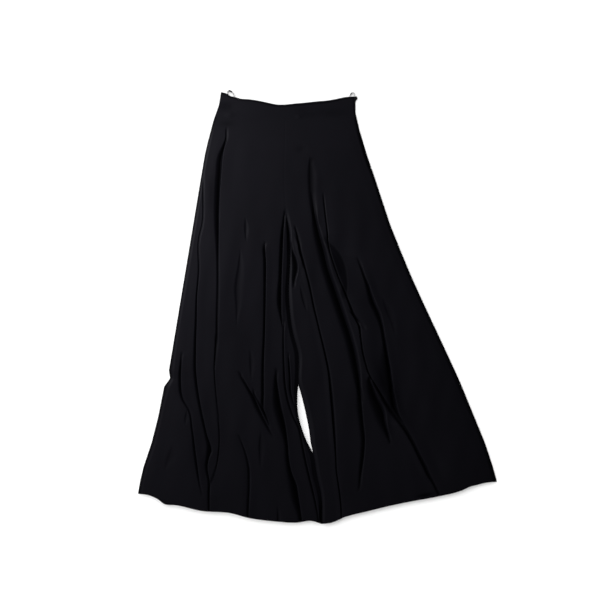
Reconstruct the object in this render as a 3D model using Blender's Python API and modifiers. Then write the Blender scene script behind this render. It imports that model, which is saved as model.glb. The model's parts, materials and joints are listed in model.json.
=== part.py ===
"""Palazzo pants lying flat on their back panels, with the legs spread.

Four leg panels and a waistband in two parts are walls of cloth. The front panels carry the
long soft folds. A closed concealed zip runs down the wearer's left side seam, and two ribbon
hanger loops stand out over the waist.

A place on the cloth is (across, drop) in millimetres: across runs from the centre front seam,
positive towards the wearer's left, and drop runs down from the level of the waist corners.
"Right" and "left" in names are the wearer's.
"""
from collections import namedtuple

import bpy
import numpy as np

MM = 0.001

# Cloth walls and the clearance between pieces, in millimetres
LEG_WALL = 1.2
BAND_WALL = 1.6
GAP = 0.3
RIBBON_WALL = 0.8
RIBBON_WIDTH = 4.0
RIBBON_LIFT = 0.4
RIBBON_SEAT = 0.5

# The closed zip down the left side seam
ZIP_RADIUS = 1.2
ZIP_LIFT = 0.1
ZIP_TOP = -1.0
ZIP_END = 176.0
ZIP_CLEAR = 4.0
ZIP_SEAT = 0.45

# Grid of each leg panel
FRONT_COLUMNS = 36
BACK_COLUMNS = 8
BAND_COLUMNS = 26
BAND_ROWS = 3

# Folds die out towards the waist seam and the panel's own edges
FOLD_EDGE_REACH = 14.0
FOLD_SEAM_REACH = 60.0
LAP_FACE = 9.0

# Side seams: where each one lies at a given drop
Side = namedtuple("Side", "drop right left")
SIDE_SEAMS = (
    Side(-10, -160, 176),
    Side(20, -165, 176),
    Side(40, -172, 176),
    Side(57, -178, 180),
    Side(83, -185, 186),
    Side(113, -193, 195),
    Side(143, -200, 204),
    Side(173, -205, 214),
    Side(190, -208, 220),
    Side(263, -220, 244),
    Side(323, -230, 264),
    Side(383, -240, 288),
    Side(443, -250, 313),
    Side(503, -260, 340),
    Side(563, -270, 368),
    Side(623, -280, 396),
    Side(683, -290, 424),
    Side(703, -287, 433),
    Side(724, -302, 442),
    Side(800, -317, 473),
    Side(863, -333, 499),
    Side(923, -353, 519),
    Side(960, -362, 529),
    Side(990, -367, 531),
)

# Centre seam down to the crotch, then the inner edge of each leg
Inner = namedtuple("Inner", "drop right left")
INNER_EDGES = (
    Inner(57, 0, 0),
    Inner(287, 3, 3),
    Inner(320, 8, 8),
    Inner(398, 11, 11),
    Inner(502, 8, 8),
    Inner(590, 18, 18),
    Inner(642, 32, 32),
    Inner(718, 33, 33),
    Inner(742, 31, 40),
    Inner(787, 32, 51),
    Inner(832, 43, 60),
    Inner(862, 55, 64),
    Inner(892, 70, 70),
    Inner(947, 79, 79),
    Inner(987, 88, 88),
    Inner(1065, 91, 91),
)

# Hems, by the share of the leg's width from its side seam: how far down each one reaches
Hem = namedtuple("Hem", "share right left")
HEMS = (
    Hem(0.00, 990, 960),
    Hem(0.05, 993, 962),
    Hem(0.11, 1005, 968),
    Hem(0.14, 1015, 971),
    Hem(0.20, 1018, 982),
    Hem(0.35, 1033, 998),
    Hem(0.50, 1038, 1010),
    Hem(0.60, 1050, 1019),
    Hem(0.75, 1059, 1035),
    Hem(0.86, 1062, 1047),
    Hem(0.95, 1058, 1063),
    Hem(1.00, 1065, 1065),
)

# Waist seam, by the same share: it sags towards the centre front
Seam = namedtuple("Seam", "share right left")
WAIST_SEAM = (
    Seam(0.0, 51, 51),
    Seam(1.0, 58, 58),
)

# Rows of the leg panels, as shares of the way from the waist seam to the hem
ROW_SHARES = (
    0.0, 0.035, 0.07, 0.105, 0.14, 0.148, 0.19, 0.25, 0.31, 0.37, 0.43, 0.49,
    0.55, 0.61, 0.67, 0.695, 0.715, 0.76, 0.82, 0.88, 0.94, 1.0,
)

# Upper edge of the waistband: the back half stands a little above the front half
Waist = namedtuple("Waist", "across back front")
WAIST_EDGE = (
    Waist(-160, -9, -7),
    Waist(-142, -5, -4),
    Waist(-130, 2, 3),
    Waist(-112, 6, 7),
    Waist(-88, 6, 8),
    Waist(-67, 9, 11),
    Waist(-47, 13, 16),
    Waist(-17, 19, 22),
    Waist(32, 16, 20),
    Waist(82, 11, 15),
    Waist(112, 8, 12),
    Waist(132, 4, 7),
    Waist(152, 0, 3),
    Waist(173, -1, 1),
)

# Laps and folds of the front panels. The line runs through four places, evenly spaced from
# start to end. Cloth on the "over" side (+1 wearer's left, -1 wearer's right) lies on top,
# stands height above the rest at the line and falls back to it within reach.
Fold = namedtuple("Fold", "leg start end a b c d over height reach")
FOLDS = (
    Fold("right", 78, 965, -147, -171, -171, -184, 1, 7, 34),
    Fold("right", 200, 1010, -205, -217, -222, -189, 1, 7, 30),
    Fold("right", 640, 972, -251, -247, -232, -213, 1, 7, 34),
    Fold("right", 302, 590, -98, -108, -120, -121, 1, 3, 40),
    Fold("right", 360, 805, -55, -50, -52, -46, 1, 6, 24),
    Fold("right", 702, 845, -112, -85, -62, -33, 1, 6, 26),
    Fold("right", 855, 1040, -112, -94, -90, -92, 1, 5, 40),
    Fold("right", 690, 1045, -24, -12, 8, 36, 1, 9, 26),
    Fold("left", 160, 980, 58, 98, 158, 188, 1, 4, 22),
    Fold("left", 250, 990, 98, 168, 238, 379, -1, 12, 42),
    Fold("left", 300, 1046, 26, 68, 116, 140, -1, 6, 26),
    Fold("left", 442, 765, 193, 222, 252, 277, 1, 5, 34),
)

Paint = namedtuple("Paint", "colour roughness")
CREPE = Paint((0.0065, 0.006, 0.0085), 0.85)
TAPE = Paint((0.005, 0.005, 0.006), 0.6)
RIBBON = Paint((0.02, 0.02, 0.021), 0.45)


def column(table, name):
    """One named column of a table, as numbers."""
    return [getattr(row, name) for row in table]


def side_seam(leg, drop, inset=True):
    """Across of the side seam. The cloth on the left stops short of the zip beside it."""
    across = np.interp(drop, column(SIDE_SEAMS, "drop"), column(SIDE_SEAMS, leg))
    if inset and leg == "left" and drop <= ZIP_END + ZIP_CLEAR:
        across -= 2 * ZIP_RADIUS + ZIP_SEAT
    return across


def inner_edge(leg, drop):
    """Across of the centre seam or the leg's inner edge, half a gap from the other leg."""
    across = np.interp(drop, column(INNER_EDGES, "drop"), column(INNER_EDGES, leg))
    return across + (GAP / 2 if leg == "left" else -GAP / 2)


def fold_rise(leg, across, drop):
    """How far the folds lift the front panel at one place."""
    rise = 0.0
    for fold in FOLDS:
        if fold.leg != leg or not fold.start < drop < fold.end + FOLD_SEAM_REACH:
            continue
        places = np.linspace(fold.start, fold.end, 4)
        line = np.interp(drop, places, (fold.a, fold.b, fold.c, fold.d))
        off = (across - line) * fold.over
        reach = fold.reach if off > 0 else LAP_FACE
        near = max(0.0, 1 - abs(off) / reach)
        begun = min(1.0, (drop - fold.start) / FOLD_SEAM_REACH)
        rise = max(rise, fold.height * begun * near * near * (3 - 2 * near))
    return rise


def leg_place(leg, share, row):
    """(across, drop) of one place of a leg: share from side seam to inner edge, row from waist to hem."""
    top = np.interp(share, column(WAIST_SEAM, "share"), column(WAIST_SEAM, leg)) + GAP / 2
    hem = np.interp(share, column(HEMS, "share"), column(HEMS, leg))
    drop = top + row * (hem - top)
    side = side_seam(leg, drop)
    return side + share * (inner_edge(leg, drop) - side), drop


def leg_grid(leg, columns, base, folded):
    """Rows of points for a leg panel's underside."""
    rows = []
    for row in ROW_SHARES:
        points = []
        for share in np.linspace(0, 1, columns + 1):
            across, drop = leg_place(leg, share, row)
            rise = 0.0
            if folded:
                edge = min(abs(across - side_seam(leg, drop)), abs(across - inner_edge(leg, drop)))
                rise = fold_rise(leg, across, drop) * min(1.0, edge / FOLD_EDGE_REACH)
            points.append((across, drop, base + rise))
        rows.append(points)
    return rows


def band_grid(half, base):
    """Rows of points for one half of the waistband's underside."""
    rows = []
    left_end = column(WAIST_EDGE, "across")[-1]
    right_end = column(WAIST_EDGE, "across")[0]
    for row in np.linspace(0, 1, BAND_ROWS + 1):
        points = []
        for share in np.linspace(0, 1, BAND_COLUMNS + 1):
            at_top = right_end + share * (left_end - right_end)
            top = np.interp(at_top, column(WAIST_EDGE, "across"), column(WAIST_EDGE, half))
            leg = "right" if at_top < 0 else "left"
            ends = column(WAIST_SEAM, leg)
            bottom = ends[1] + (ends[0] - ends[1]) * abs(2 * share - 1) - GAP / 2
            drop = top + row * (bottom - top)
            right = side_seam("right", drop)
            across = right + share * (side_seam("left", drop) - right)
            points.append((across, drop, base))
        rows.append(points)
    return rows


def material(name, paint):
    """A plain Principled material."""
    made = bpy.data.materials.new(name)
    made.use_nodes = True
    shader = made.node_tree.nodes["Principled BSDF"]
    shader.inputs["Base Color"].default_value = (*paint.colour, 1)
    shader.inputs["Roughness"].default_value = paint.roughness
    shader.inputs["Metallic"].default_value = 0
    return made


def place(point):
    """Metres for a (across, drop, height) point: waist towards +Y, wearer's left towards +X."""
    across, drop, height = point
    return across * MM, -drop * MM, height * MM


def wall(name, rows, thickness, paint):
    """A wall of cloth: an open sheet through the rows, thickened upwards."""
    across_count = len(rows[0])
    points = [place(point) for row in rows for point in row]
    faces = []
    for row in range(len(rows) - 1):
        for k in range(across_count - 1):
            corner = row * across_count + k
            faces.append((corner, corner + across_count, corner + across_count + 1, corner + 1))
    mesh = bpy.data.meshes.new(name)
    mesh.from_pydata(points, [], faces)
    mesh.update()
    if mesh.polygons[0].normal.z < 0:
        mesh.flip_normals()
    made = bpy.data.objects.new(name, mesh)
    thicken = made.modifiers.new("cloth", "SOLIDIFY")
    thicken.thickness = thickness * MM
    thicken.offset = 1
    mesh.materials.append(material(name, paint))
    mesh.shade_smooth()
    mesh.set_sharp_from_angle(angle=np.radians(50))
    return made


def leg_panel(name, leg, front):
    """One leg panel: the back ones lie flat, the front ones lie on them and carry the folds."""
    base = LEG_WALL + GAP if front else 0.0
    columns = FRONT_COLUMNS if front else BACK_COLUMNS
    rows = leg_grid(leg, columns, base, front)
    if leg == "left":
        rows = [row[::-1] for row in rows]
    return wall(name, rows, LEG_WALL, CREPE)


def side_zip():
    """The closed zip: a round tape edge down the side seam, with its end folded out at the waist."""
    drops = [ZIP_TOP, 3, 7, 12, 33]
    drops += [leg_place("left", 0, row)[1] for row in ROW_SHARES]
    drops = [drop for drop in drops if drop < ZIP_END] + [ZIP_END]
    swell = {3: 2.1, 7: 1.6}
    curve = bpy.data.curves.new("side_zip", "CURVE")
    curve.dimensions = "3D"
    curve.bevel_depth = ZIP_RADIUS * MM
    curve.bevel_resolution = 2
    curve.use_fill_caps = True
    spline = curve.splines.new("POLY")
    spline.points.add(len(drops) - 1)
    for point, drop in zip(spline.points, drops):
        scale = swell.get(drop, 1.0)
        radius = ZIP_RADIUS * scale
        across = side_seam("left", drop, inset=False) - ZIP_RADIUS + (scale - 1) * ZIP_RADIUS
        point.co = (*place((across, drop, radius + ZIP_LIFT)), 1)
        point.radius = scale
    curve.materials.append(material("side_zip", TAPE))
    made = bpy.data.objects.new("side_zip", curve)
    return made


def hanger_loop(name, right_foot, left_foot, top):
    """A ribbon loop on edge: an arch from two feet on the waist edge over its top (across, drop)."""
    feet = []
    for across in (right_foot, left_foot):
        edge = np.interp(across, column(WAIST_EDGE, "across"), column(WAIST_EDGE, "back"))
        feet.append((across, edge - RIBBON_SEAT))
    foot_in, foot_out = feet
    path = []
    for turn in np.linspace(0, np.pi, 13):
        swing = (1 - np.cos(turn)) / 2
        across = foot_in[0] + swing * (foot_out[0] - foot_in[0]) + (
            top[0] - (foot_in[0] + foot_out[0]) / 2) * np.sin(turn)
        foot_drop = foot_in[1] + swing * (foot_out[1] - foot_in[1])
        drop = foot_drop + (top[1] - (foot_in[1] + foot_out[1]) / 2) * np.sin(turn) ** 0.7
        path.append((across, drop))
    rows = []
    for height in (RIBBON_LIFT, RIBBON_LIFT + RIBBON_WIDTH):
        rows.append([(across, drop, height) for across, drop in path])
    mesh_points = [place(point) for row in rows for point in row]
    count = len(path)
    faces = [(k, k + 1, k + 1 + count, k + count) for k in range(count - 1)]
    mesh = bpy.data.meshes.new(name)
    mesh.from_pydata(mesh_points, [], faces)
    mesh.materials.append(material(name, RIBBON))
    made = bpy.data.objects.new(name, mesh)
    thicken = made.modifiers.new("ribbon", "SOLIDIFY")
    thicken.thickness = RIBBON_WALL * MM
    thicken.offset = 0
    return made


def build():
    for old in list(bpy.data.objects):
        bpy.data.objects.remove(old)
    garment = bpy.data.collections.new("palazzo_pants")
    bpy.context.scene.collection.children.link(garment)
    front_band = BAND_WALL + GAP
    pieces = [
        leg_panel("back_leg_right", "right", False),
        leg_panel("back_leg_left", "left", False),
        leg_panel("front_leg_right", "right", True),
        leg_panel("front_leg_left", "left", True),
        wall("waistband_back", band_grid("back", 0.0), BAND_WALL, CREPE),
        wall("waistband_front", band_grid("front", front_band), BAND_WALL, CREPE),
        side_zip(),
        hanger_loop("hanger_loop_right", -143.5, -127, (-137, -18.5)),
        hanger_loop("hanger_loop_left", 160.5, 171.5, (168, -13.5)),
    ]
    middle = bpy.data.objects.new("middle", None)
    garment.objects.link(middle)
    for piece in pieces:
        garment.objects.link(piece)
        piece.parent = middle
    # The frame's origin is under the middle of the whole garment
    bpy.context.view_layer.update()
    corners = []
    for piece in pieces:
        evaluated = piece.evaluated_get(bpy.context.evaluated_depsgraph_get())
        corners += [evaluated.matrix_world @ point.co for point in evaluated.to_mesh().vertices]
    across = [corner.x for corner in corners]
    along = [corner.y for corner in corners]
    middle.location = (-(min(across) + max(across)) / 2, -(min(along) + max(along)) / 2, 0)


build()
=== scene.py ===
"""Looks of the palazzo pants: fine cloth shells with their folds, seams, hems, zip and ribbon loops.

A place on the cloth is (across, drop) in millimetres, as in the construction: across runs from the
centre front seam, positive towards the wearer's left, and drop runs down from the waist corners.
"Right" and "left" in names are the wearer's. Heights are millimetres above the floor.
"""

import json
from collections import namedtuple

import bpy
import numpy as np
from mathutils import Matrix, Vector

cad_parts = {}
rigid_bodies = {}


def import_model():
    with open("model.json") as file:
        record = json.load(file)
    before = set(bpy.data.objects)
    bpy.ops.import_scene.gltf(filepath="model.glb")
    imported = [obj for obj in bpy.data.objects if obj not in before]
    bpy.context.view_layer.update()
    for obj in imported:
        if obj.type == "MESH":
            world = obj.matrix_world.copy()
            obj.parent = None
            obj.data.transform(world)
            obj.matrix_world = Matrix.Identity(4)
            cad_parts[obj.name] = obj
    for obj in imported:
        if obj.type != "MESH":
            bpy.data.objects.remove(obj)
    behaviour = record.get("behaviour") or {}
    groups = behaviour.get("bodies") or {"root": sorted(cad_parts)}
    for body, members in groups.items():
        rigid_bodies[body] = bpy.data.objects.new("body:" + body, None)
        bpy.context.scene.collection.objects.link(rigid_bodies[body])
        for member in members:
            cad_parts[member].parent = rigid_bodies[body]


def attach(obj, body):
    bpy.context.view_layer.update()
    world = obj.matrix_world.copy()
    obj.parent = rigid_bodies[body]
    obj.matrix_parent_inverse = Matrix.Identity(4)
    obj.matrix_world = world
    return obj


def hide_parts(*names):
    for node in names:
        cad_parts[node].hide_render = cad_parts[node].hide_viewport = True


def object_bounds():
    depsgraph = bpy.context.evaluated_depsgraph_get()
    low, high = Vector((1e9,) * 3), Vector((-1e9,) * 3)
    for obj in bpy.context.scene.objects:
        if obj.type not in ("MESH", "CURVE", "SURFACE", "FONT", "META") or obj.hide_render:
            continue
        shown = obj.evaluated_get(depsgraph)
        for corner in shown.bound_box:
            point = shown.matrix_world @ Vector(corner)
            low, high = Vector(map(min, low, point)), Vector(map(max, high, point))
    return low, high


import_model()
CAD_LOW, CAD_HIGH = [list(map(float, corner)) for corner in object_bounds()]

MM = 0.001
RIGHT_REACH = -367.0     # across of the garment's right edge, at the frame's low X
LOWEST_HEM = 1065.0      # drop of its lowest hem, at the frame's low Y

# ---------------------------------------------------------------- outline of the garment

Side = namedtuple("Side", "drop right left")
SIDE_SEAMS = (
    Side(-10, -160, 176),
    Side(20, -165, 176),
    Side(40, -172, 176),
    Side(57, -178, 180),
    Side(83, -185, 186),
    Side(113, -193, 195),
    Side(143, -200, 204),
    Side(190, -208, 220),
    Side(263, -220, 244),
    Side(323, -230, 264),
    Side(383, -240, 288),
    Side(443, -250, 313),
    Side(503, -260, 340),
    Side(563, -270, 368),
    Side(623, -280, 396),
    Side(683, -290, 424),
    Side(703, -287, 433),
    Side(724, -302, 442),
    Side(800, -317, 473),
    Side(863, -333, 499),
    Side(923, -353, 519),
    Side(960, -362, 529),
    Side(990, -367, 531),
)

Inner = namedtuple("Inner", "drop right left")
INNER_EDGES = (
    Inner(57, 0, 0),
    Inner(287, 3, 3),
    Inner(320, 8, 8),
    Inner(398, 11, 11),
    Inner(502, 8, 8),
    Inner(590, 18, 18),
    Inner(642, 32, 32),
    Inner(718, 33, 33),
    Inner(742, 31, 40),
    Inner(787, 32, 51),
    Inner(832, 43, 60),
    Inner(862, 55, 64),
    Inner(892, 70, 70),
    Inner(947, 79, 79),
    Inner(987, 88, 88),
    Inner(1065, 91, 91),
)

Hem = namedtuple("Hem", "share right left")
HEMS = (
    Hem(0.00, 990, 960),
    Hem(0.05, 993, 962),
    Hem(0.11, 1005, 968),
    Hem(0.14, 1015, 971),
    Hem(0.20, 1018, 982),
    Hem(0.35, 1033, 998),
    Hem(0.50, 1038, 1010),
    Hem(0.60, 1050, 1019),
    Hem(0.75, 1059, 1035),
    Hem(0.86, 1062, 1047),
    Hem(0.95, 1058, 1063),
    Hem(1.00, 1065, 1065),
)

Seam = namedtuple("Seam", "share right left")
WAIST_SEAM = (
    Seam(0.0, 51, 51),
    Seam(1.0, 58, 58),
)

Waist = namedtuple("Waist", "across back front")
WAIST_EDGE = (
    Waist(-160, -12, -9),
    Waist(-145, -8, -6),
    Waist(-137, -3, -1),
    Waist(-125, 0, 2),
    Waist(-110, 4, 6),
    Waist(-88, 6, 8),
    Waist(-67, 9, 11),
    Waist(-47, 13, 16),
    Waist(-17, 19, 22),
    Waist(32, 16, 20),
    Waist(82, 11, 15),
    Waist(112, 8, 12),
    Waist(132, 4, 7),
    Waist(152, 0, 3),
    Waist(173, -1, 1),
)

# ---------------------------------------------------------------- folds of the front panels

# Each fold follows its line of (drop, across, strength). Cloth on the "over" side (+1 wearer's
# left, -1 wearer's right) lies on top: its face rises from the bottom of the fold within face, to
# crest above the rest, falls back within reach, and leans over the bottom. On the other side the
# cloth drops by depth within slit and by dip within soft. A fold with over 0 is a trough with two
# equal sides. Strength scales the slit's width and, more weakly, all the heights.
# The folds also paint shade into the cloth's colour, in the slit and at the foot of the face.
Fold = namedtuple("Fold", "leg over depth slit dip soft face crest reach lean line")
FOLDS = (
    Fold("right", 1, 5.6, 12, 0.5, 22, 4, 0.4, 30, 1.0, (
        (76, -147, 0), (88, -147, .15), (104, -147, .25), (122, -151, .5), (144, -156, .95),
        (196, -161, 1.1), (257, -165, 1.05), (323, -166, .9), (365, -166, .65), (405, -167, .4),
        (455, -167, .35), (563, -169, .35), (608, -170, .35), (640, -174, .2), (680, -176, 0))),
    Fold("right", -1, 1.6, 4, 1.6, 44, 2.5, 0.3, 16, 0.8, (
        (590, -170, 0), (625, -173, .5), (678, -176, .6), (740, -172, .6), (783, -168, .6),
        (870, -164, .6), (918, -170, .6), (965, -184, .35), (992, -190, 0))),
    Fold("right", 1, 4.8, 7, 0.8, 18, 3, 0.8, 22, 2.0, (
        (185, -205, 0), (230, -205, .2), (325, -208, .25), (350, -214, .25), (440, -215, .4),
        (500, -219, .6), (560, -220, .8), (635, -222, .95), (678, -222, 1), (743, -215, 1),
        (805, -203, .9), (848, -193, 1), (870, -186, 1.4), (884, -184, 1.7), (900, -189, 1.2),
        (920, -193, 1), (960, -188, .8), (1010, -188, .8), (1060, -187, .5))),
    Fold("right", 1, 4.0, 6, 0.8, 20, 3, 0.8, 18, 1.5, (
        (636, -258, 0), (657, -258, .6), (707, -260, 1.1), (757, -253, 1), (782, -239, .8),
        (832, -230, .8), (887, -223, 1), (947, -215, .8), (977, -211, .3), (1000, -207, 0))),
    Fold("right", 0, 1.2, 5, 0, 0, 0, 0, 0, 0, ((780, -244, 0), (800, -247, .8), (824, -249, 0))),
    Fold("right", 0, 1.0, 12, 0, 0, 0, 0, 0, 0, ((865, -280, 0), (900, -288, .8), (935, -302, 0))),
    Fold("right", 0, 1.4, 4, 0, 0, 0, 0, 0, 0, ((300, -98, 0), (325, -98, 1), (366, -97, 0))),
    Fold("right", 0, 1.6, 8, 0, 0, 0, 0, 0, 0, (
        (378, -111, 0), (420, -113, .7), (480, -120, 1), (520, -119, .7), (575, -121, 0))),
    Fold("right", 0, 1.2, 5, 0, 0, 0, 0, 0, 0, ((625, -87, 0), (660, -85, 1), (712, -84, 0))),
    Fold("right", 1, 4.8, 7, 0.5, 14, 3, 0.6, 16, 1.5, (
        (362, -50, 0), (378, -50, .8), (405, -48, 1), (475, -48, .9), (590, -50, .8),
        (678, -53, .9), (740, -53, 1), (775, -53, .8), (802, -47, 0))),
    Fold("right", 1, 5.2, 9, 0.5, 12, 3, 0.8, 12, 1.5, (
        (686, -116, 0), (700, -107, .6), (725, -92, .8), (752, -76, 1.1), (777, -65, 1.2),
        (800, -54, 1), (832, -38, .6), (852, -30, 0))),
    Fold("right", 1, 4.0, 6, 0.3, 8, 2.5, 0.6, 8, 1.0, (
        (730, -80, 0), (745, -74, .8), (772, -58, 1), (797, -46, .9), (824, -38, 0))),
    Fold("right", 1, 2.8, 6, 0.9, 18, 3, 0.6, 18, 1.0, (
        (842, -118, 0), (862, -108, .5), (888, -98, .8), (928, -89, 1), (965, -88, 1),
        (1035, -91, 1), (1075, -92, 1))),
    Fold("right", 0, 1.2, 5, 0, 0, 0, 0, 0, 0, (
        (835, -59, 0), (860, -61, 1), (910, -61, .6), (935, -61, 0))),
    Fold("right", 1, 6.8, 15, 0.4, 16, 3.5, 0.6, 16, 1.5, (
        (676, -22, 0), (700, -21, .4), (735, -17, .9), (777, -10, 1.3), (815, -1, 1.2),
        (845, 4, .8), (870, 7, .6), (907, 10, .65), (940, 17, .8), (967, 27, 1.2), (1007, 34, 1.2),
        (1043, 40, .7), (1075, 44, .5))),
    Fold("right", 0, 1.8, 4, 0, 0, 0, 0, 0, 0, ((1020, -18, 0), (1040, -17, .8), (1075, -15, 1))),
    Fold("right", 1, 3.4, 5, 0.3, 7, 2.5, 0.8, 8, 1.0, (
        (553, -2, 0), (580, -3, .5), (608, -3, .7), (678, -1, .9), (700, 0, 1), (730, 3, 1),
        (770, 12, 1), (797, 21, .9), (829, 36, .9), (871, 45, 1), (911, 53, 1), (953, 63, 1),
        (1008, 76, .9), (1040, 82, .7), (1075, 86, .5))),
    Fold("right", 1, 3.0, 4, 0.3, 5, 2.5, 0.6, 6, 0.8, (
        (638, 8, 0), (655, 10, .7), (695, 13, 1), (742, 16, 1), (765, 22, .6), (785, 28, 0))),
    Fold("right", 1, 6.0, 9, 0.4, 13, 4, 1.2, 9, 1.5, (
        (282, -1, 0), (305, -2, .4), (350, -5, .8), (400, -7, .9), (455, -9, .9),
        (487, -10, 1.1), (520, -10, 1.1), (545, -9, .6), (578, -6, 0))),
    Fold("left", -1, 4.0, 8, 0.4, 12, 3, 1.2, 8, 0.8, (
        (322, 26, 0), (340, 29, .5), (366, 33, .9), (391, 37, .7), (412, 44, .4), (430, 50, 0))),
    Fold("left", -1, 4.0, 5, 0.5, 9, 3, 1.0, 12, 1.2, (
        (340, 26, 0), (365, 33, .4), (391, 40, .7), (419, 47, .9), (443, 53, .9), (470, 60, .9),
        (518, 70, .8), (578, 84, .8), (628, 96, .9), (685, 108, 1), (740, 114, 1.3),
        (785, 118, 1.3), (850, 123, 1.1), (895, 126, .7), (933, 128, .6), (970, 133, .7),
        (1020, 139, .7), (1075, 141, .6))),
    Fold("left", 1, 5.5, 15, 0, 5, 4, 0.4, 8, 0.8, (
        (358, 12, 0), (382, 18, .4), (407, 27, 1), (432, 30, 1), (452, 26, .7), (478, 20, 0))),
    Fold("left", 0, 1.3, 4, 0, 0, 0, 0, 0, 0, (
        (470, 38, 0), (490, 42, 1), (515, 48, 1), (540, 55, 0))),
    Fold("left", 0, 2.6, 5, 0, 0, 0, 0, 0, 0, (
        (530, 158, 0), (545, 169, .8), (560, 182, 1), (574, 195, .7), (584, 203, 0))),
    Fold("left", 1, 1.3, 7, 0.3, 14, 18, 0.2, 12, 0, (
        (150, 61, 0), (172, 62, .7), (238, 64, 1), (285, 69, .8), (325, 77, 0))),
    Fold("left", 1, 6.8, 17, 0.6, 14, 11, 1.2, 14, 1.0, (
        (235, 66, 0), (268, 70, .15), (300, 75, .5), (345, 85, .85),
        (382, 95, .95), (432, 107, 1), (482, 124, 1.05), (542, 144, 1.05), (607, 165, 1),
        (682, 181, .9), (733, 187, .5), (765, 190, 0))),
    Fold("left", 1, 5.6, 17, 0.4, 12, 3, 0.3, 12, 0.8, (
        (690, 182, 0), (733, 187, .5), (770, 191, .75), (813, 195, .7), (853, 199, .65),
        (893, 197, .6), (935, 191, .45), (985, 183, 0))),
    Fold("left", -1, 4.6, 6, 0.6, 20, 2.5, 1.6, 14, 1.4, (
        (238, 97, 0), (263, 99, .2), (305, 103, .3), (340, 106, .5), (367, 108, .5), (383, 112, .4),
        (413, 121, .4), (459, 137, .5), (490, 149, .8), (513, 158, .9), (545, 170, 1.2), (571, 183, 1.1),
        (600, 188, .7), (631, 193, .5), (665, 201, .5), (690, 208, .6), (730, 232, .5), (760, 250, 0))),
    Fold("left", -1, 4.0, 7, 0.6, 20, 9, 1.2, 16, 1.2, (
        (705, 216, 0), (730, 232, .4), (766, 254, .9), (790, 271, 1.2), (815, 290, 1.2), (836, 304, 1),
        (868, 322, .9), (895, 335, .9), (922, 349, 1), (948, 361, .9), (965, 371, .6),
        (1005, 392, .3))),
    Fold("left", -1, 0.8, 5, 3.0, 60, 24, 0.3, 6, 0, (
        (345, 103, 0), (362, 108, .3), (378, 124, .85), (398, 138, 1), (422, 148, 1),
        (442, 152, .9), (470, 155, .6), (492, 155, .3), (508, 158, 0))),
    Fold("left", 1, 3.0, 38, 0, 10, 5, 0.3, 8, 0, (
        (590, 246, 0), (640, 254, .4), (675, 261, .7), (705, 265, .8), (730, 269, .7), (750, 272, .4),
        (770, 275, 0))),
    Fold("left", 1, 3.2, 15, 0, 10, 5, 0.3, 8, 0, (
        (715, 266, 0), (735, 269, .8), (757, 273, 1.2), (780, 278, 1.1), (795, 284, .6), (812, 291, 0))),
    Fold("left", 1, 6.8, 19, 0, 10, 7, 0.8, 10, 0.8, (
        (698, 209, 0), (708, 211, .4), (722, 216, .7), (752, 227, 1), (782, 242, 1.2),
        (817, 250, .9), (842, 257, .5), (868, 262, 0))),
    Fold("left", 1, 4.8, 9, 2.6, 52, 5, 1.2, 18, 1.0, (
        (400, 178, 0), (427, 190, .4), (450, 199, .6), (472, 208, .9), (492, 214, 1.1),
        (520, 224, 1.4), (542, 234, 1.3), (573, 243, .9), (608, 249, .8), (647, 256, .8),
        (682, 262, .9), (714, 266, .9), (747, 271, 1), (782, 278, 1.2), (800, 285, .6),
        (818, 293, 0))),
    Fold("left", 0, 1.0, 8, 0, 0, 0, 0, 0, 0, (
        (498, 242, 0), (524, 252, .8), (564, 267, .7), (602, 276, 0))),
)

# Broad soft hollows: centre, half width and half length, how far across they slant per drop, depth
# as a share of the cloth's loose height, and how much shade is painted into them. Those of depth 0
# are only painted shade.
Hollow = namedtuple("Hollow", "leg across drop wide long slant depth dusk")
HOLLOWS = (
    Hollow("left", 375, 914, 18, 42, 0.40, 0.20, 0.0),
    Hollow("left", 42, 132, 12, 9, 0.00, 0.15, 0.2),
    Hollow("left", 352, 996, 15, 4.5, -1.6, 0.25, 1.0),
    Hollow("left", 133, 423, 10, 42, 0.34, 0.00, 0.75),
    Hollow("left", 255, 725, 17, 50, 0.36, 0.15, 0.85),
    Hollow("left", 231, 780, 11, 42, 0.26, 0.00, 0.90),
    Hollow("left", 98, 395, 14, 60, 0.28, 0.00, 0.35),
    Hollow("right", -145, 67, 20, 9, 0.00, 0.50, 0.4),
    Hollow("right", -178, 240, 12, 45, 0.00, 0.12, 0.1),
    Hollow("right", -100, 640, 26, 120, 0.00, 0.10, 0.0),
    Hollow("right", -240, 560, 16, 110, -0.10, 0.10, 0.0),
)

# ---------------------------------------------------------------- meshes, zip, loops, back panels

COLUMN_FOCUS = 7.0       # how near a fold the columns draw together
COLUMN_DRAW = 5.0        # how many times denser they get there
COLUMN_CALM = 40         # passes that smooth the columns' way down the leg
DENSITY_SAMPLES = 700    # places across a leg where the columns' spacing is worked out
EDGE_ROW = 0.0008        # share of the first and last step
FRONT_GRID = (290, 160)  # rows and columns of a front panel
BACK_GRID = (120, 90)
BAND_GRID = (26, 200)    # rows and columns of half of the waistband

ZIP_TOP = -1.0           # the zip runs from the waist corner to its end, in drop
ZIP_END = 176.0
ZIP_FADE = 6.0           # length over which the side seam closes over the tape below that
ZIP_RADIUS = 1.1         # of the tape edge
ZIP_RINGS = 120
ZIP_SIDES = 14
ZIP_LIFT = 0.1           # how far above the floor the tape lies
NUB_DROP = 3.0           # the folded tape end at the corner: middle, half length and reach
NUB_HALF = 5.0
NUB_REACH = 5.0
ZIP_ROOM = 2.1           # width of the tape edge that shows beside the cloth
RIBBON_WIDTH = 3.8       # of the hanger loops
RIBBON_WALL = 0.35
RIBBON_RINGS = 49
FOOT_DEPTH = 1.5         # how far the loops' feet reach below the waist edge
RIBBON_HEIGHT = 2.4      # height of the loops' middle above the floor

CLOTH = 0.8              # thickness of the crepe as modelled
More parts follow.
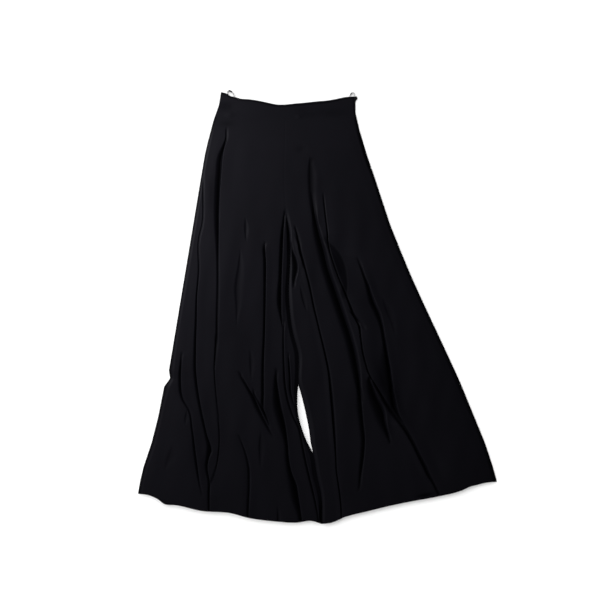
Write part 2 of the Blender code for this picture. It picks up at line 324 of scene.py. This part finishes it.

# Shallow dents (rise below 0) and swells of the front waistband, and how much shade is painted into
# them.
Dent = namedtuple("Dent", "across drop wide long rise dusk")
BAND_DENTS = (
    Dent(-142, 24, 20, 11, -1.2, 0.40),
    Dent(-138, 45, 10, 6, 0.6, 0.00),
    Dent(35, 50, 7, 5, 0.6, 0.00),
    Dent(50, 34, 20, 8, -0.5, 0.20),
    Dent(62, 44, 30, 10, -0.8, 0.25),
    Dent(122, 42, 48, 11, -0.9, 0.30),
    Dent(-60, 34, 40, 14, 0.4, 0.00),
)

# Hanger loops: where their feet and top are, and the ribbon's (share, tilt) along the loop, with a
# tilt of 0 flat and 90 on edge.
Loop = namedtuple("Loop", "node right_foot left_foot top_across top_drop tilt")
LOOPS = (
    Loop("hanger_loop_right", -143.5, -127, -137, -14.5, (
        (0, 88), (.28, 80), (.4, 15), (.6, 15), (.72, 80), (1, 88))),
    Loop("hanger_loop_left", 161, 172.5, 169.5, -10.5, (
        (0, 88), (.2, 70), (.4, 55), (.5, 74), (.65, 88), (1, 90))),
)

# Low soft ridges in the back panels, which lie on the floor.
Ridge = namedtuple("Ridge", "leg height half line")
BACK_RIDGES = (
    Ridge("right", 2.6, 16, (
        (150, -120, 0), (260, -122, .6), (520, -132, 1), (800, -150, .8), (1060, -160, .6))),
    Ridge("right", 2.2, 12, (
        (330, -70, 0), (470, -74, .8), (700, -80, 1), (900, -70, .5), (960, -66, 0))),
    Ridge("right", 2.8, 14, (
        (560, -228, 0), (700, -240, .8), (860, -262, 1), (1060, -285, .7))),
    Ridge("right", 2.2, 11, (
        (640, -20, 0), (790, -18, .8), (930, -4, 1), (1070, 8, .6))),
    Ridge("left", 2.6, 15, (
        (190, 92, 0), (330, 120, .7), (560, 210, 1), (760, 330, .9), (980, 440, .6))),
    Ridge("left", 2.4, 12, (
        (420, 60, 0), (560, 92, .9), (760, 138, 1), (1070, 165, .7))),
    Ridge("left", 2.0, 14, (
        (520, 270, 0), (650, 310, .8), (820, 380, .9), (930, 420, 0))),
    Ridge("left", 2.2, 11, (
        (640, 168, 0), (780, 205, 1), (930, 240, .8), (1050, 262, .4))),
)
BACK_LONGER = 1.002      # the back's length, times the front's

# ---------------------------------------------------------------- heights and edges of the cloth

# How the front rises from its outline to its full height: each share of it within its distance.
Puff = namedtuple("Puff", "share within")
PUFFS = (
    Puff(0.62, 8),
    Puff(0.13, 30),
    Puff(0.25, 110),
)
BILLOW_HIP = 5.0         # full height of the front at the hip, and how much more lower down
BILLOW_MORE = 4.6
BILLOW_FROM = 110        # drop where it starts to rise, and the length over which it does
BILLOW_WITHIN = 330
BAND_WITHIN = 90         # length below the waistband over which the front comes up
WAVE_HEIGHT = 0.5        # of the slow waves that run down the legs
WAVE_SEED = 3
LEGS_APART = 270         # drop below which the legs have inner edges of their own
APART_WITHIN = 90
BAND_FOOT = 52           # drop of the waist seam at the sides
SIDE_DROP = 0.9          # how far the front's edge turns down at the side and inner seams
INNER_DROP = 0.8
SEAM_GROOVE = 0.12       # depth of the fine lines at the waist seam and the centre front seam
GROOVE_WIDTH = 2
LEAST_GAP = 0.1          # least room between the front and the back
BACK_CLEAR = 0.9         # room kept between the back's ridges and the front
BACK_SHARE = 0.8         # share of what is left that the ridges may fill
BAND_LAP = 0.5           # how far the waistband laps over the leg panels

SIDE_SPREAD = (-40, -24, -8, 8, 24, 40)  # drops that the smoothed side seam is averaged over
STEP_SHARE = 0.08        # share of a leg's width that takes up a small step in its side seam
LEG_LAP = 0.4            # how far the right leg's edge lies over the left leg's
HEM_STITCH = 8.0         # the narrow hem's stitches above its edge
BAND_STITCH = 2.0        # the waistband's stitches above its seam
SIDE_PAINTED_SHADE = 1.42        # how dark the shade painted along the side edge is, as a multiple of RIM_DIM's dimming
HEM_PAINTED_SHADE = 0.8          # the same for the shade painted along the hem's edge
HEM_RIM = 2.4            # how far in from the hem the painted shade reaches
SIDE_RIM = 4.4           # how far in from the side seams the painted shade reaches
BAND_RIM = 3.0           # how far in from its edge the waistband's painted shade reaches
SEAM_TURN = 3.0          # width over which an edge turns down into its seam
FRONT_EDGE_TOP = 2.6     # top of the front panel at its side seam
BACK_TOP = 1.2           # top of the back panel, which lies on the floor
BAND_TOPS = {"back": 1.3, "front": 2.35}  # top of each half of the waistband at its edge
BAND_PUFF = 0.35         # how much higher the band's top is inside its edge

# ---------------------------------------------------------------- stitches, painted shade and colours

THREAD_HALF = 0.22       # half the width of a stitch's thread
THREAD_RELIEF = 1.2      # height of the thread, as a multiple of the crepe's grain
STITCH_LENGTH = 2.5      # from stitch to stitch
STITCH_SHARE = 0.78      # the part of it that the thread shows
WEAK_END_PAINTED_SHADE = 0.45        # how much more shade is painted on a fold's weak ends beyond their depth
WEAK_FACE = 5.0          # how much wider the face of a weak fold is
TROUGH_PAINTED_SHADE = 0.3       # how dark the shade painted at the bottom of a plain trough is
WIDEST_PAINTED_SHADE = 1.2         # how dark the shade painted at the bottom of the widest folds is

CREPE_COLOUR = (0.0008, 0.00075, 0.00115)
CREPE_TINT = (0.892, 0.888, 0.955)
CREPE_GLOSS = 0.0142     # specular level of open cloth
CREPE_ROUGHNESS = 0.52
RIM_DIM = 0.42           # share of gloss and colour left where the painted shade ("rim") is 1
RIBBON_COLOUR = (0.0018, 0.0018, 0.0019)
RIBBON_GLOSS = 0.02
RIBBON_RIBS = 900        # scale of the ribs across the ribbon
TAPE_COLOUR = (0.0009, 0.0009, 0.001)
TAPE_GLOSS = 0.012
TAPE_RIBS = 700

# ---------------------------------------------------------------- studio sizes, in metres

SOFTBOX_SIDE = (-0.744, 0.447, 0.496)  # the side that the soft studio light comes from
SKY_DARK = 0.09          # brightness of the studio away from that side, and towards it
SKY_BRIGHT = 2.95
KEY_WATTS = 110
KEY_SIZE = 0.7
KEY_PLACE = (-1.0, 0.6, 0.75)
KEY_TARGET = (0.05, 0.0, 0)
FLOOR_HALF = 20
FLOOR_SHADE = 0.95
LENS = 85
SENSOR = 36
PICTURE_SIDE = 1.5       # metres of floor across the picture
PICTURE_CENTRE = (37.5, 507.5)  # across and drop of its middle, in millimetres


# ---------------------------------------------------------------- curves and outlines


def column(table, name):
    """One named column of a table, as numbers."""
    return np.array([getattr(row, name) for row in table], float)


def curve_through(xs, ys, at):
    """A smooth curve through points, level beyond its ends (cubic Hermite)."""
    xs, ys = np.asarray(xs, float), np.asarray(ys, float)
    slopes = np.gradient(ys, xs)
    at = np.clip(at, xs[0], xs[-1])
    i = np.clip(np.searchsorted(xs, at, side="right") - 1, 0, len(xs) - 2)
    width = xs[i + 1] - xs[i]
    t = (at - xs[i]) / width
    a = (1 + 2 * t) * (1 - t) ** 2
    b = t * (1 - t) ** 2 * width
    c = t * t * (3 - 2 * t)
    d = t * t * (t - 1) * width
    return a * ys[i] + b * slopes[i] + c * ys[i + 1] + d * slopes[i + 1]


def ease(t):
    """0 to 1 with level ends."""
    t = np.clip(t, 0, 1)
    return t * t * (3 - 2 * t)


def side_seam(leg, drop, zipped=True):
    """The side edge of a leg or of the waistband; on the left the zip lies outside it."""
    across = np.interp(drop, column(SIDE_SEAMS, "drop"), column(SIDE_SEAMS, leg))
    if leg == "left" and zipped:
        across = across - ZIP_ROOM * ease((ZIP_END + ZIP_FADE - drop) / ZIP_FADE)
    return across


def inner_edge(leg, drop):
    """Edge of a leg on the middle side. Where the legs meet, the right one laps over the left one."""
    drops = column(INNER_EDGES, "drop")
    right = curve_through(drops, column(INNER_EDGES, "right"), drop)
    left = curve_through(drops, column(INNER_EDGES, "left"), drop)
    closed = ease(1 - (left - right) / 2)
    return (left if leg == "left" else right) + closed * (LEG_LAP if leg == "right" else 0)


def fold_line(fold, drop):
    """(across, strength) of a fold or ridge at some drops. Strength is 0 beyond its ends."""
    drops, across, strength = np.array(fold.line, float).T
    inside = (drop >= drops[0]) & (drop <= drops[-1])
    reach = curve_through(drops, across, drop)
    return reach, np.where(inside, np.maximum(0, curve_through(drops, strength, drop)), 0)


def soft_side(leg, drop):
    """The side seam without its small steps."""
    return sum(side_seam(leg, drop + step) for step in SIDE_SPREAD) / len(SIDE_SPREAD)


def leg_places(leg, shares, rows):
    """across and drop of places of a leg: share 0 at the side seam, 1 at the inner edge."""
    top = np.interp(shares, column(WAIST_SEAM, "share"), column(WAIST_SEAM, leg))
    hem = curve_through(column(HEMS, "share"), column(HEMS, leg), shares)
    drop = top + rows * (hem - top)
    side = soft_side(leg, drop)
    step = (side_seam(leg, drop) - side) * (1 - ease(shares / STEP_SHARE))
    return side + shares * (inner_edge(leg, drop) - side) + step, drop


def drawn_columns(leg, rows, count):
    """Column shares for each row, closer together where a fold's line passes."""
    even = np.linspace(0, 1, DENSITY_SAMPLES)
    shares = np.empty((len(rows), count))
    for k, row in enumerate(rows):
        across, drop = leg_places(leg, even, row)
        density = np.ones_like(even)
        for fold in FOLDS:
            if fold.leg != leg:
                continue
            line, strength = fold_line(fold, drop)
            near = np.exp(-((across - line) / COLUMN_FOCUS) ** 2)
            density += COLUMN_DRAW * np.minimum(1, strength) * near
        total = np.concatenate([[0], np.cumsum((density[1:] + density[:-1]) / 2)])
        shares[k] = np.interp(np.linspace(0, total[-1], count), total, even)
    for step in range(COLUMN_CALM):
        shares[1:-1] = (shares[:-2] + 2 * shares[1:-1] + shares[2:]) / 4
    shares[:, 1] = EDGE_ROW
    shares[:, -2] = 1 - EDGE_ROW
    return shares


def edged(count):
    """Even steps from 0 to 1, with one more step close to each end to keep the edge crisp."""
    inner = np.linspace(0, 1, count - 2)
    return np.concatenate([[0, EDGE_ROW], inner[1:-1], [1 - EDGE_ROW, 1]])


def soft_noise(across, drop, seed, wide, long):
    """Slow waves that run down the cloth, between about -1 and 1."""
    random = np.random.default_rng(seed)
    total = np.zeros_like(across)
    for k in range(7):
        angle = random.normal(0, 0.12)
        wave = 2 * np.pi / (wide * random.uniform(0.6, 1.6))
        slow = 2 * np.pi / (long * random.uniform(0.7, 1.5))
        shift = random.uniform(0, 6.28, 2)
        side = across * np.cos(angle) + drop * np.sin(angle)
        total += np.sin(side * wave + shift[0]) * np.sin(drop * slow + shift[1])
    return total / 3.5


# ---------------------------------------------------------------- heights of the cloth


def fold_shape(leg, across, drop):
    """(rise, shift, shade): how far the folds lift and push the cloth, and the shade painted into them.
    """
    rise = np.zeros_like(across)
    shift = np.zeros_like(across)
    shade = np.zeros_like(across)
    for fold in FOLDS:
        if fold.leg != leg:
            continue
        line, strength = fold_line(fold, drop)
        width = fold.slit * np.maximum(strength, 0.2)
        power = strength ** 0.75
        if not fold.over:
            off = across - line
            near = ease(1 - np.abs(off) / np.where(off > 0, 2.2 * width, width))
            rise -= fold.depth * power * near
            # Painted shade at the bottom of a plain trough.
            shade = np.maximum(shade, TROUGH_PAINTED_SHADE * power * near)
            continue
        off = (across - line) * fold.over
        slit = np.clip(1 + off / width, 0, 1) ** 1.2
        soft = np.clip(1 + off / fold.soft, 0, 1)
        bottom = fold.depth + fold.dip
        drop_down = fold.depth * slit + fold.dip * ease(soft)
        rim = fold.face * np.maximum(strength, 0.6) + WEAK_FACE * ease(1 - strength / 0.7)
        face = ease(off / rim)
        back = ease(1 - (off - rim) / fold.reach)
        climb = face * fold.crest * back - (1 - face) * bottom
        # Painted shade: dark in the slit and on the face near the line, darker for wide folds and at
        # weak ends.
        weak = 1 - strength
        shaded = rim * (0.8 + 0.5 * weak)
        deep = np.where(off > 0, ease(1 - off / shaded), np.minimum(1, 1.6 * slit))
        gloom = min(WIDEST_PAINTED_SHADE, 0.5 + fold.slit / 18)
        dark = np.minimum(1, 1.2 * power + WEAK_END_PAINTED_SHADE * weak * ease(strength / 0.12))
        shade = np.maximum(shade, gloom * dark * deep)
        rise += power * np.where(off > 0, climb, -drop_down)
        lip = face * np.clip(1 - (off - rim) / (3 * rim), 0, 1) ** 2
        shift -= np.where(off > 0, fold.over * fold.lean * power * lip, 0)
    return rise, shift, shade


def base_height(leg, across, drop):
    """(height, loose, painted shade): the front's smooth form, how freely folds shape it, and the shade
    painted into its hollows.
    """
    to_side = np.abs(across - side_seam(leg, drop))
    from_outline = np.minimum(to_side, np.abs(across - soft_side(leg, drop)))
    to_inner = np.maximum((inner_edge(leg, drop) - across) * (1 if leg == "right" else -1), 0)
    to_waist = drop - BAND_FOOT
    apart = ease((drop - LEGS_APART) / APART_WITHIN)
    billow = BILLOW_HIP + BILLOW_MORE * ease((drop - BILLOW_FROM) / BILLOW_WITHIN)
    billow = billow * ease(to_waist / BAND_WITHIN)
    full = sum(puff.share * ease(from_outline / puff.within) for puff in PUFFS)
    full = full * (1 - apart * (1 - ease(to_inner / 6)))
    waves = soft_noise(across, drop, WAVE_SEED, 60, 500) * ease((drop - 60) / 260)
    height = FRONT_EDGE_TOP + full * (billow + WAVE_HEIGHT * waves)
    # Shade painted into the hollows; hollows of depth 0 are only painted shade.
    dusk = np.zeros_like(across)
    for hollow in HOLLOWS:
        if hollow.leg != leg:
            continue
        down = drop - hollow.drop
        aside = across - hollow.across - down * hollow.slant
        near = (aside / hollow.wide) ** 2 + (down / hollow.long) ** 2
        height -= hollow.depth * full * billow * np.exp(-near)
        dusk = np.maximum(dusk, hollow.dusk * np.exp(-near))
    height -= SIDE_DROP * (1 - ease(to_side / SEAM_TURN)) ** 2
    height -= SEAM_GROOVE * (1 - ease(to_waist / GROOVE_WIDTH)) ** 2
    height -= SEAM_GROOVE * (1 - ease(to_inner / GROOVE_WIDTH)) ** 2
    height -= apart * INNER_DROP * (1 - ease(to_inner / SEAM_TURN)) ** 2
    loose = ease(to_side / 7) * (1 - apart * (1 - ease(to_inner / 4)))
    return height, loose, dusk


# ---------------------------------------------------------------- pieces as meshes


def world(across, drop, height):
    """Points in metres in the row frame."""
    x = CAD_LOW[0] + (across - RIGHT_REACH) * MM
    y = CAD_LOW[1] + (LOWEST_HEM - drop) * MM
    return np.stack([x, y, height * MM], axis=-1)


def store(made, name, values):
    """Keep one number for each vertex, for the material."""
    layer = made.data.attributes.new(name, "FLOAT", "POINT")
    layer.data.foreach_set("value", np.ascontiguousarray(values, dtype=np.float32).ravel())


def sheet_object(name, points, material, thickness):
    """A smooth shell of cloth from a grid of points, its thickness below the points."""
    rows, columns = points.shape[:2]
    grid = np.arange(rows * columns).reshape(rows, columns)
    faces = np.stack([grid[:-1, :-1], grid[1:, :-1], grid[1:, 1:], grid[:-1, 1:]], -1).reshape(-1, 4)
    mesh = bpy.data.meshes.new(name)
    mesh.from_pydata(points.reshape(-1, 3).tolist(), [], faces.tolist())
    mesh.update()
    normals = np.empty(len(mesh.polygons) * 3)
    mesh.polygons.foreach_get("normal", normals)
    if normals[2::3].mean() < 0:
        mesh.flip_normals()
    mesh.shade_smooth()
    made = bpy.data.objects.new(name, mesh)
    bpy.context.scene.collection.objects.link(made)
    thicken = made.modifiers.new("cloth", "SOLIDIFY")
    thicken.thickness = thickness * MM
    thicken.offset = -1
    mesh.materials.append(material)
    return made


def front_panel(leg, material):
    """A front leg panel with its folds."""
    rows = edged(FRONT_GRID[0])
    shares = drawn_columns(leg, rows, FRONT_GRID[1])
    across, drop = leg_places(leg, shares, rows[:, None])
    rise, shift, shade = fold_shape(leg, across, drop)
    height, loose, dusk = base_height(leg, across, drop)
    height += rise * loose
    height = np.maximum(height, BACK_TOP + CLOTH + LEAST_GAP)
    # Painted shade, kept as "rim": along the side seam and the hem, in the folds and in the hollows.
    rim = SIDE_PAINTED_SHADE * np.exp(-(np.abs(across - side_seam(leg, drop)) / SIDE_RIM) ** 2)
    rim = np.maximum(rim, HEM_PAINTED_SHADE * np.exp(-((drop[-1:] - drop) / HEM_RIM) ** 2))
    rim = np.maximum(rim, np.maximum(shade * loose, dusk))
    across = across + shift * loose
    made = sheet_object("front_" + leg, world(across, drop, height), material, CLOTH)
    store(made, "rim", rim)
    store(made, "stitch", drop[-1:] - drop - HEM_STITCH)
    store(made, "run", across)
    return made


def back_panel(leg, material):
    """A back leg panel: nearly flat on the floor, with a few shallow creases."""
    rows = edged(BACK_GRID[0])[:, None]
    shares = edged(BACK_GRID[1])[None, :] * np.ones_like(rows)
    across, drop = leg_places(leg, shares, rows * BACK_LONGER)
    room = base_height(leg, across, drop)[0] + np.minimum(fold_shape(leg, across, drop)[0], 0)
    height = np.zeros_like(across)
    for ridge in BACK_RIDGES:
        if ridge.leg == leg:
            line, strength = fold_line(ridge, drop)
            height += ridge.height * strength * ease(1 - np.abs(across - line) / ridge.half)
    free = np.clip(room - CLOTH - BACK_TOP - BACK_CLEAR, 0, None)
    height = BACK_TOP + np.minimum(height, free * BACK_SHARE)
    made = sheet_object("back_" + leg, world(across, drop, height), material, CLOTH)
    # Painted shade along the hem.
    store(made, "rim", HEM_PAINTED_SHADE * np.exp(-((drop[-1:] - drop) / HEM_RIM) ** 2))
    store(made, "stitch", drop[-1:] - drop - HEM_STITCH)
    store(made, "run", across)
    return made


def band(half, material):
    """Half of the waistband."""
    t = edged(BAND_GRID[0])[:, None]
    share = edged(BAND_GRID[1])[None, :]
    ends = column(WAIST_EDGE, "across")
    at_top = ends[0] + share * (ends[-1] - ends[0])
    top = curve_through(ends, column(WAIST_EDGE, half), at_top)
    at_side, at_middle = column(WAIST_SEAM, "right")
    bottom = at_middle - (at_middle - at_side) * np.abs(2 * share - 1) + BAND_LAP
    drop = top + t * (bottom - top)
    right = side_seam("right", drop)
    left = side_seam("left", drop)
    across = right + share * (left - right)
    from_edge = np.minimum(drop - top, np.minimum(across - right, left - across))
    height = BAND_TOPS[half] + BAND_PUFF * ease(from_edge / 4)
    # Painted shade along the band's edges and in its dents.
    dusk = np.exp(-(from_edge / BAND_RIM) ** 2)
    for dent in BAND_DENTS:
        near = ((across - dent.across) / dent.wide) ** 2 + ((drop - dent.drop) / dent.long) ** 2
        height += dent.rise * np.exp(-near) * ease(from_edge / 5) * (half == "front")
        dusk = np.maximum(dusk, dent.dusk * np.exp(-near))
    made = sheet_object("waistband_" + half + "_cloth", world(across, drop, height), material, CLOTH)
    store(made, "rim", dusk)
    store(made, "stitch", bottom - drop - BAND_STITCH)
    store(made, "run", across)
    return made


def tube_object(name, rings, material):
    """A closed tube through rings of points, with flat ends."""
    count, around = rings.shape[:2]
    mesh = bpy.data.meshes.new(name)
    faces = []
    for k in range(count - 1):
        for j in range(around):
            ahead = (j + 1) % around
            low, high = k * around, (k + 1) * around
            faces.append((low + j, low + ahead, high + ahead, high + j))
    faces.append(tuple(range(around))[::-1])
    faces.append(tuple((count - 1) * around + j for j in range(around)))
    mesh.from_pydata(rings.reshape(-1, 3).tolist(), [], faces)
    mesh.update()
    mesh.shade_smooth()
    made = bpy.data.objects.new(name, mesh)
    bpy.context.scene.collection.objects.link(made)
    mesh.materials.append(material)
    return made


def ribbon_loop(name, loop, material):
    """A narrow ribbon from foot to foot, turning from its edge to its flat side on the way."""
    foot_across = np.array([loop.right_foot, loop.left_foot])
    waist = np.interp(foot_across, column(WAIST_EDGE, "across"), column(WAIST_EDGE, "back"))
    foot_drop = waist + FOOT_DEPTH
    turn = np.linspace(0, np.pi, RIBBON_RINGS)
    swing = (1 - np.cos(turn)) / 2
    across = foot_across[0] + swing * (foot_across[1] - foot_across[0])
    across += (loop.top_across - foot_across.sum() / 2) * np.sin(turn)
    drop = foot_drop[0] + swing * (foot_drop[1] - foot_drop[0])
    drop += (loop.top_drop - foot_drop.sum() / 2) * np.sin(turn) ** 0.7
    path = world(across, drop, np.full_like(across, RIBBON_HEIGHT))
    along = np.gradient(path, axis=0)
    along /= np.linalg.norm(along, axis=1)[:, None]
    up = np.array([0.0, 0.0, 1.0])
    level = np.cross(along, up)
    shares, angles = np.array(loop.tilt, float).T
    tilt = np.radians(curve_through(shares, angles, turn / np.pi))[:, None]
    flat = level * np.cos(tilt) + up * np.sin(tilt)
    thin = np.cross(along, flat)
    half = RIBBON_WIDTH * MM / 2
    wall = RIBBON_WALL * MM / 2
    steps = (-1, -0.5, 0, 0.5, 1)
    corners = [(a, -1) for a in steps] + [(a, 1) for a in steps[::-1]]
    rings = np.stack([path + flat * half * a + thin * wall * b for a, b in corners], axis=1)
    return tube_object(name, rings, material)


def zip_edge(name, material):
    """The closed zip's tape edge down the side, with its end folded out at the waist corner."""
    drop = np.linspace(ZIP_TOP, ZIP_END, ZIP_RINGS)
    swell = np.exp(-((drop - NUB_DROP) / NUB_HALF) ** 2)
    half = ZIP_RADIUS + NUB_REACH / 2 * swell
    tall = ZIP_RADIUS * (1 + 0.8 * swell)
    across = side_seam("left", drop, zipped=False) - 2 * ZIP_RADIUS + half
    sides = [
        world(across + half * np.cos(turn), drop, tall * (1 + np.sin(turn)) + ZIP_LIFT)
        for turn in np.linspace(0, 2 * np.pi, ZIP_SIDES, endpoint=False)
    ]
    return tube_object(name, np.stack(sides, axis=1), material)


# ---------------------------------------------------------------- materials


def math_node(nodes, links, operation, first, second=None):
    """One math node; each input is a number or another node's output."""
    made = nodes.new("ShaderNodeMath")
    made.operation = operation
    for socket, value in zip(made.inputs, (first, second)):
        if isinstance(value, (int, float)):
            socket.default_value = value
        elif value is not None:
            links.new(value, socket)
    return made.outputs["Value"]


def stitch_row(nodes, links):
    """1 on the threads of a row of stitches, 0 between and beside them."""
    apart = nodes.new("ShaderNodeAttribute")
    apart.attribute_name = "stitch"
    run = nodes.new("ShaderNodeAttribute")
    run.attribute_name = "run"
    off = math_node(nodes, links, "ABSOLUTE", apart.outputs["Fac"])
    near = math_node(nodes, links, "LESS_THAN", off, THREAD_HALF)
    count = math_node(nodes, links, "DIVIDE", run.outputs["Fac"], STITCH_LENGTH)
    part = math_node(nodes, links, "FRACT", count)
    on_thread = math_node(nodes, links, "LESS_THAN", part, STITCH_SHARE)
    return math_node(nodes, links, "MULTIPLY", near, on_thread)


def crepe_material(name, colour):
    """Matt near-black crepe: a fine pebbled weave with slight random variation of colour, and shade
    painted in by the "rim" attribute, which dims colour and gloss.
    """
    made = bpy.data.materials.new(name)
    made.use_nodes = True
    nodes, links = made.node_tree.nodes, made.node_tree.links
    shader = nodes["Principled BSDF"]
    place = nodes.new("ShaderNodeTexCoord").outputs["Object"]
    grain = nodes.new("ShaderNodeTexNoise")
    grain.inputs["Scale"].default_value = 900
    grain.inputs["Detail"].default_value = 3
    drift = nodes.new("ShaderNodeTexNoise")
    drift.inputs["Scale"].default_value = 7
    links.new(place, grain.inputs["Vector"])
    links.new(place, drift.inputs["Vector"])
    ramp = nodes.new("ShaderNodeValToRGB")
    ramp.color_ramp.elements[0].position = 0.3
    ramp.color_ramp.elements[1].position = 0.7
    ramp.color_ramp.elements[0].color = (*[c * 0.9 for c in colour], 1)
    ramp.color_ramp.elements[1].color = (*[c * 1.1 for c in colour], 1)
    links.new(drift.outputs["Fac"], ramp.inputs["Fac"])
    # Painted shade: the "rim" attribute dims colour and gloss towards RIM_DIM.
    rim = nodes.new("ShaderNodeAttribute")
    rim.attribute_name = "rim"
    dim = nodes.new("ShaderNodeMapRange")
    dim.clamp = False
    dim.inputs["To Min"].default_value = 1.0
    dim.inputs["To Max"].default_value = RIM_DIM
    links.new(rim.outputs["Fac"], dim.inputs["Value"])
    dimmed = nodes.new("ShaderNodeVectorMath")
    dimmed.operation = "SCALE"
    links.new(ramp.outputs["Color"], dimmed.inputs["Vector"])
    links.new(dim.outputs["Result"], dimmed.inputs["Scale"])
    links.new(dimmed.outputs["Vector"], shader.inputs["Base Color"])
    gloss = math_node(nodes, links, "MULTIPLY", dim.outputs["Result"], CREPE_GLOSS)
    links.new(gloss, shader.inputs["Specular IOR Level"])
    thread = stitch_row(nodes, links)
    relief = nodes.new("ShaderNodeMath")
    relief.operation = "MULTIPLY_ADD"
    relief.inputs[1].default_value = THREAD_RELIEF
    links.new(thread, relief.inputs[0])
    links.new(grain.outputs["Fac"], relief.inputs[2])
    bump = nodes.new("ShaderNodeBump")
    bump.inputs["Strength"].default_value = 0.25
    bump.inputs["Distance"].default_value = 0.0002
    links.new(relief.outputs["Value"], bump.inputs["Height"])
    links.new(bump.outputs["Normal"], shader.inputs["Normal"])
    shader.inputs["Roughness"].default_value = CREPE_ROUGHNESS
    shader.inputs["Specular Tint"].default_value = (*CREPE_TINT, 1)
    return made


def tape_material(name, colour, gloss, ribs):
    """Woven tape or ribbon: fine ribs across a plain colour."""
    made = bpy.data.materials.new(name)
    made.use_nodes = True
    nodes, links = made.node_tree.nodes, made.node_tree.links
    shader = nodes["Principled BSDF"]
    place = nodes.new("ShaderNodeTexCoord").outputs["Object"]
    weave = nodes.new("ShaderNodeTexWave")
    weave.inputs["Scale"].default_value = ribs
    weave.inputs["Distortion"].default_value = 1.5
    links.new(place, weave.inputs["Vector"])
    shades = nodes.new("ShaderNodeValToRGB")
    shades.color_ramp.elements[0].color = (*[c * 0.8 for c in colour], 1)
    shades.color_ramp.elements[1].color = (*[c * 1.2 for c in colour], 1)
    links.new(weave.outputs["Fac"], shades.inputs["Fac"])
    links.new(shades.outputs["Color"], shader.inputs["Base Color"])
    bump = nodes.new("ShaderNodeBump")
    bump.inputs["Strength"].default_value = 0.3
    bump.inputs["Distance"].default_value = 0.0001
    links.new(weave.outputs["Fac"], bump.inputs["Height"])
    links.new(bump.outputs["Normal"], shader.inputs["Normal"])
    shader.inputs["Roughness"].default_value = 0.6
    shader.inputs["Specular IOR Level"].default_value = gloss
    return made


# ---------------------------------------------------------------- the pieces

crepe = crepe_material("crepe", CREPE_COLOUR)

for leg in ("right", "left"):
    front = front_panel(leg, crepe)
    back = back_panel(leg, crepe)
    for piece, node in ((front, "front_leg_" + leg), (back, "back_leg_" + leg)):
        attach(piece, "root")
        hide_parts(node)

bands = {}
for half in ("back", "front"):
    bands[half] = band(half, crepe)
    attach(bands[half], "root")
    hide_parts("waistband_" + half)

ribbon = tape_material("ribbon", RIBBON_COLOUR, RIBBON_GLOSS, RIBBON_RIBS)
ribbons = [ribbon_loop(loop.node + "_ribbon", loop, ribbon) for loop in LOOPS]
for piece, loop in zip(ribbons, LOOPS):
    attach(piece, "root")
    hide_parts(loop.node)

zip_tape = tape_material("zip_tape", TAPE_COLOUR, TAPE_GLOSS, TAPE_RIBS)
tape = zip_edge("zip_tape_edge", zip_tape)
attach(tape, "root")
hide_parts("side_zip")

# ---------------------------------------------------------------- floor, light and camera

floor_mesh = bpy.data.meshes.new("floor")
floor_corners = [(x * FLOOR_HALF, y * FLOOR_HALF, 0) for x, y in ((-1, -1), (1, -1), (1, 1), (-1, 1))]
floor_mesh.from_pydata(floor_corners, [], [(0, 1, 2, 3)])
floor = bpy.data.objects.new("floor", floor_mesh)
bpy.context.scene.collection.objects.link(floor)
paper = bpy.data.materials.new("floor")
paper.use_nodes = True
paper_shader = paper.node_tree.nodes["Principled BSDF"]
paper_shader.inputs["Base Color"].default_value = (FLOOR_SHADE, FLOOR_SHADE, FLOOR_SHADE, 1)
paper_shader.inputs["Roughness"].default_value = 1
floor_mesh.materials.append(paper)

studio = bpy.data.worlds.new("studio")
studio.use_nodes = True
nodes, links = studio.node_tree.nodes, studio.node_tree.links
towards = nodes.new("ShaderNodeTexCoord").outputs["Generated"]
facing = nodes.new("ShaderNodeVectorMath")
facing.operation = "DOT_PRODUCT"
facing.inputs[1].default_value = SOFTBOX_SIDE
links.new(towards, facing.inputs[0])
glow = nodes.new("ShaderNodeMapRange")
glow.interpolation_type = "SMOOTHSTEP"
glow.inputs["From Min"].default_value = 0.0
glow.inputs["From Max"].default_value = 1.0
glow.inputs["To Min"].default_value = SKY_DARK
glow.inputs["To Max"].default_value = SKY_BRIGHT
links.new(facing.outputs["Value"], glow.inputs["Value"])
links.new(glow.outputs["Result"], nodes["Background"].inputs["Strength"])
nodes["Background"].inputs["Color"].default_value = (1, 1, 1, 1)
bpy.context.scene.world = studio

key_data = bpy.data.lights.new("key", "AREA")
key_data.energy = KEY_WATTS
key_data.size = KEY_SIZE
key = bpy.data.objects.new("key", key_data)
bpy.context.scene.collection.objects.link(key)
key.location = KEY_PLACE
key.rotation_euler = (Vector(KEY_TARGET) - key.location).to_track_quat("-Z", "Y").to_euler()
# The key light models the cloth only, so that the floor stays evenly white.
lit_by_key = bpy.data.collections.new("lit_by_key")
for thing in bpy.context.scene.objects:
    if thing.type == "MESH" and thing != floor:
        lit_by_key.objects.link(thing)
key.light_linking.receiver_collection = lit_by_key

camera_data = bpy.data.cameras.new("camera")
camera_data.lens = LENS
camera_data.sensor_width = SENSOR
camera = bpy.data.objects.new("camera", camera_data)
bpy.context.scene.collection.objects.link(camera)
centre = world(*[np.array(place) for place in PICTURE_CENTRE], np.array(0.0))
camera.location = (centre[0], centre[1], PICTURE_SIDE * LENS / SENSOR)
bpy.context.scene.camera = camera

bpy.context.scene.view_settings.view_transform = "Standard"
